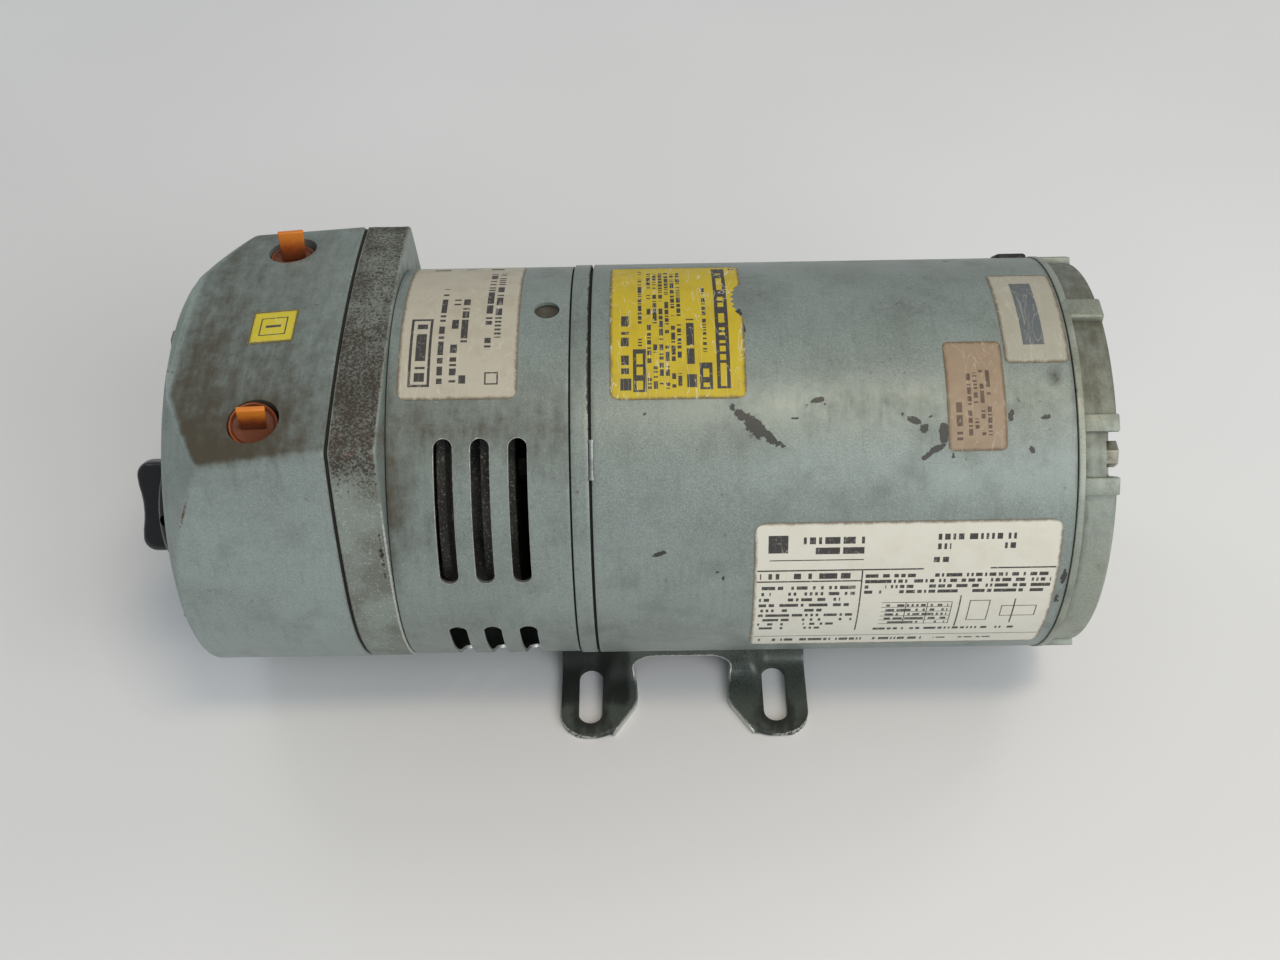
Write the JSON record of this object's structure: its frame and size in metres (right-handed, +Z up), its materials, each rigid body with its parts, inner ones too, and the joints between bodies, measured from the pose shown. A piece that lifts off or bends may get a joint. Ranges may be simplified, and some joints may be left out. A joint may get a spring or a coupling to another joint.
{
  "type": "rotary vane vacuum pump",
  "caption": "Electric rotary vane vacuum pump: motor on a slotted sheet base, slotted fan shroud, muffler cover with capped ports and a valve knob on its end.",
  "frame": {"origin": "on the plane under the feet, below the shaft, at the middle of the overall length", "axes": "+X along the shaft from the pump to the motor's rear end, +Y to the far side, +Z up"},
  "size_m": [0.3284, 0.1446, 0.1496],
  "materials": {
    "enamel": "blue-grey metallic enamel, dusty and worn",
    "olive": "olive-grey enamel, stained",
    "base_paint": "dark green-grey enamel, bright worn edges",
    "casting": "rough casting, painted and rust-speckled",
    "iron": "machined cast iron",
    "steel": "bright steel",
    "zinc": "zinc-plated steel",
    "brass": "turned brass",
    "aluminium": "cast aluminium",
    "lamination": "stacked steel laminations",
    "copper": "enamelled copper winding",
    "carbon": "carbon graphite",
    "black_plastic": "black phenolic plastic",
    "orange": "orange soft plastic",
    "rubber": "black rubber",
    "felt": "grey felt",
    "fibre": "gasket and board fibre"
  },
  "bodies": {
    "pump": {"muffler_cover": "enamel", "cover_gasket": "fibre", "end_housing": "casting", "cover_screw_1": "zinc", "cover_screw_2": "zinc", "cover_screw_3": "zinc", "cover_screw_4": "zinc", "exhaust_port_plug": "orange", "intake_port_plug": "orange", "exhaust_felt": "felt", "intake_filter": "felt", "ballast_valve_body": "brass", "ballast_valve_nut": "brass", "pump_body": "casting", "drive_end_plate": "casting", "pump_bolt_1": "steel", "pump_bolt_2": "steel", "pump_bolt_3": "steel", "pump_bolt_4": "steel", "outer_bearing": "steel", "fan_shroud": "enamel", "shroud_screw_1": "zinc", "shroud_screw_2": "zinc", "motor_front_bracket": "enamel", "front_bearing": "steel", "motor_shell": "enamel", "lead_grommet": "rubber", "stator_core": "lamination", "stator_winding": "copper", "start_switch": "fibre", "bearing_wave_washer": "steel", "rear_bearing": "steel", "rear_end_bell": "olive", "through_bolt_1": "zinc", "through_bolt_2": "zinc", "through_bolt_3": "zinc", "through_bolt_4": "zinc", "mounting_base": "base_paint"},
    "rotor_assembly": {"drive_shaft": "steel", "pump_rotor": "iron", "rotor_key": "steel", "cooling_fan": "aluminium", "motor_rotor": "lamination", "governor_hub": "steel"},
    "sliding_vane_1": {"vane_1": "carbon"},
    "sliding_vane_2": {"vane_2": "carbon"},
    "sliding_vane_3": {"vane_3": "carbon"},
    "sliding_vane_4": {"vane_4": "carbon"},
    "governor": {"governor_collar": "black_plastic"},
    "valve_seat": {"ballast_valve_poppet": "rubber"},
    "valve_knob": {"ballast_knob": "black_plastic", "ballast_valve_stem": "brass", "knob_set_screw": "steel"}
  },
  "joints": [
    {"name": "rotor_turn", "type": "hinge", "parent": "pump", "child": "rotor_assembly", "pos_m": [0, 0, 0.0762], "axis": [1, 0, 0], "continuous": true},
    {"name": "vane_1_slide", "type": "slide", "parent": "rotor_assembly", "child": "sliding_vane_1", "axis": [0, 0.7071, 0.7071], "range_m": [-0.0015, 0.001]},
    {"name": "vane_2_slide", "type": "slide", "parent": "rotor_assembly", "child": "sliding_vane_2", "axis": [0, -0.7071, 0.7071], "range_m": [-0.0015, 0.001]},
    {"name": "vane_3_slide", "type": "slide", "parent": "rotor_assembly", "child": "sliding_vane_3", "axis": [0, -0.7071, -0.7071], "range_m": [-0.0015, 0.001]},
    {"name": "vane_4_slide", "type": "slide", "parent": "rotor_assembly", "child": "sliding_vane_4", "axis": [0, 0.7071, -0.7071], "range_m": [-0.0015, 0.001]},
    {"name": "governor_slide", "type": "slide", "parent": "rotor_assembly", "child": "governor", "axis": [1, 0, 0], "range_m": [-0.003, 0], "stiffness_N_per_m": 200, "springref_m": 0.001},
    {"name": "valve_seat_slide", "type": "slide", "parent": "pump", "child": "valve_seat", "axis": [-1, 0, 0], "range_m": [0, 0.002]},
    {"name": "knob_turn", "type": "hinge", "parent": "valve_seat", "child": "valve_knob", "pos_m": [-0.1472, -0.0354, 0.0936], "axis": [-1, 0, 0], "range_deg": [0, 720]}
  ],
  "couplings": [
    {"joint": "valve_seat_slide", "follows": "knob_turn", "m_per_rad": 0.000159}
  ]
}
